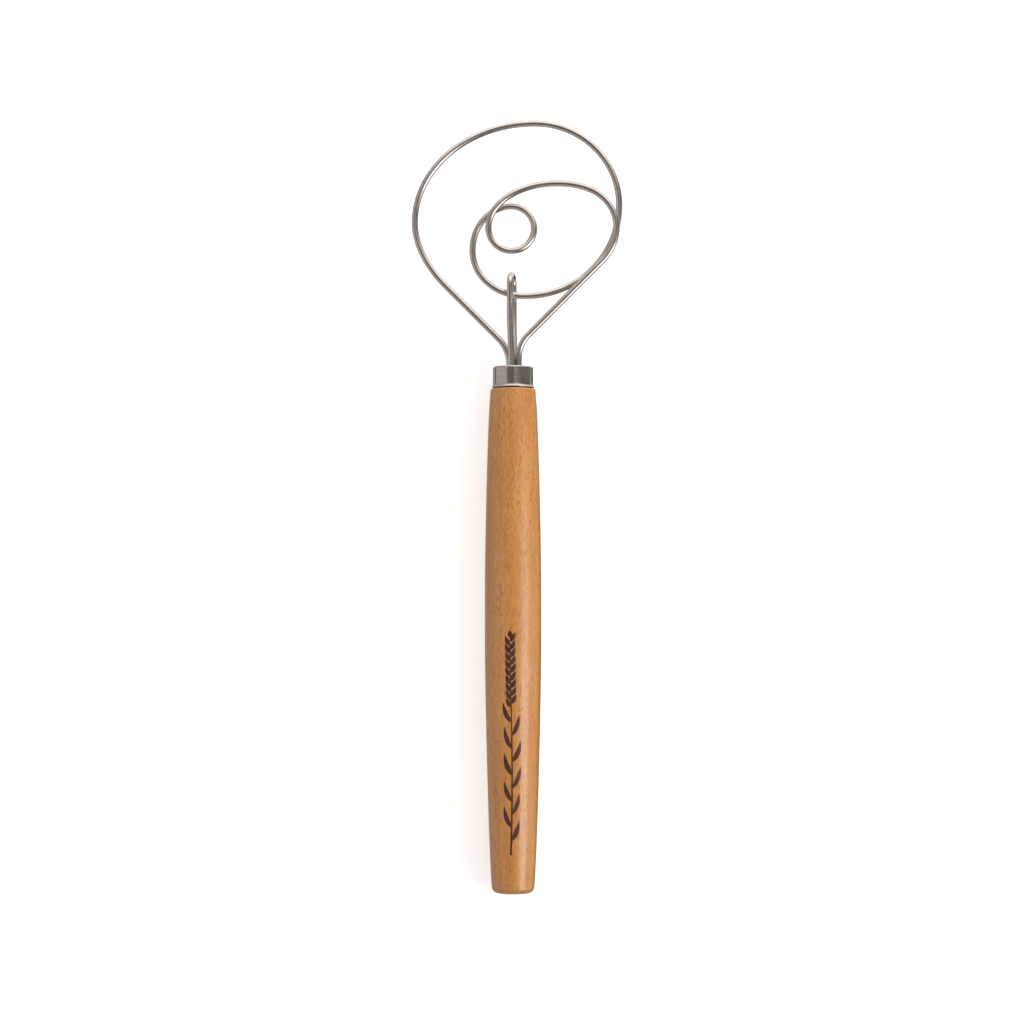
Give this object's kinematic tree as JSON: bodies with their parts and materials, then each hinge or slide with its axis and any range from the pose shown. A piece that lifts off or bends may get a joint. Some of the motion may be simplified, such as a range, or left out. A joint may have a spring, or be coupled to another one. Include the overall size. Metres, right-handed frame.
{
  "type": "dough whisk",
  "caption": "Hand dough whisk: bent round-wire head with an inner curl and an upright hook, a metal ferrule and a turned wooden handle.",
  "frame": {"origin": "centre of the butt's flat face, on the handle's axis", "axes": "+Y along the handle from the butt to the wire head, +X to the right seen from above, +Z square to the plane of the loops; the whisk lies flat"},
  "size_m": [0.092, 0.3355, 0.0244],
  "materials": {
    "beech": "turned beech under a satin lacquer, fine dark flecks along the grain",
    "ferrule_steel": "polished stainless steel with faint brushing along the axis",
    "wire_steel": "bright polished stainless steel wire",
    "epoxy": "cured amber adhesive"
  },
  "bodies": {
    "root": {"handle": "beech", "ferrule": "ferrule_steel", "whisk_wire": "wire_steel", "hook_wire": "wire_steel", "epoxy_plug": "epoxy"}
  },
  "joints": []
}
